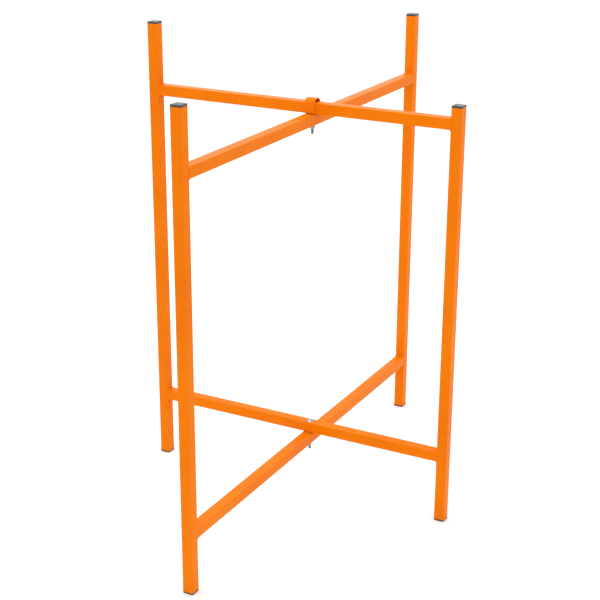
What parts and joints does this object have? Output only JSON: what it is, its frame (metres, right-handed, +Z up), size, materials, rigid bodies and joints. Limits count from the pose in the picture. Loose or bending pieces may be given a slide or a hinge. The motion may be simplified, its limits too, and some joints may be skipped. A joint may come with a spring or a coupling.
{
  "type": "folding trestle",
  "caption": "Folding steel trestle stand of two welded H-frames crossing at right angles on a vertical pivot, with upright leg ends above the rails to hold a board.",
  "frame": {"origin": "on the floor, at the centre of the open stand's footprint; the vertical pivot axis stands 29.5 mm from it along +X", "axes": "+Z up; +X along the inner frame's rails, from its tall left leg towards its short right leg; +Y along the outer frame's rails, from its front leg to its back leg"},
  "size_m": [0.701, 0.996, 0.983],
  "materials": {
    "orange_paint": "semi-gloss powder coat with a fine orange-peel surface",
    "black_plastic": "moulded, finely grained, slightly shiny on top",
    "zinc_steel": "bright zinc plating",
    "pale_nylon": "natural nylon"
  },
  "bodies": {
    "outer_frame": {"outer_front_leg": "orange_paint", "outer_back_leg": "orange_paint", "outer_lower_rail": "orange_paint", "outer_upper_rail": "orange_paint", "outer_front_top_cap": "black_plastic", "outer_back_top_cap": "black_plastic", "outer_front_foot_plug": "black_plastic", "outer_back_foot_plug": "black_plastic", "upper_spacer_washer": "pale_nylon", "lower_spacer_washer": "pale_nylon"},
    "inner_frame": {"inner_left_leg": "orange_paint", "inner_right_leg": "orange_paint", "inner_lower_rail": "orange_paint", "inner_upper_rail": "orange_paint", "keeper_strap": "orange_paint", "inner_left_top_cap": "black_plastic", "inner_right_top_cap": "black_plastic", "inner_left_foot_plug": "black_plastic", "inner_right_foot_plug": "black_plastic", "upper_pivot_bolt": "zinc_steel", "upper_nut": "zinc_steel", "upper_flat_washer": "zinc_steel", "lower_pivot_bolt": "zinc_steel", "lower_nut": "zinc_steel", "lower_flat_washer": "zinc_steel"}
  },
  "joints": [
    {"name": "scissor_pivot", "type": "hinge", "parent": "outer_frame", "child": "inner_frame", "pos_m": [0.0295, 0, 0.46], "axis": [0, 0, 1], "range_deg": [-85, 85]}
  ]
}
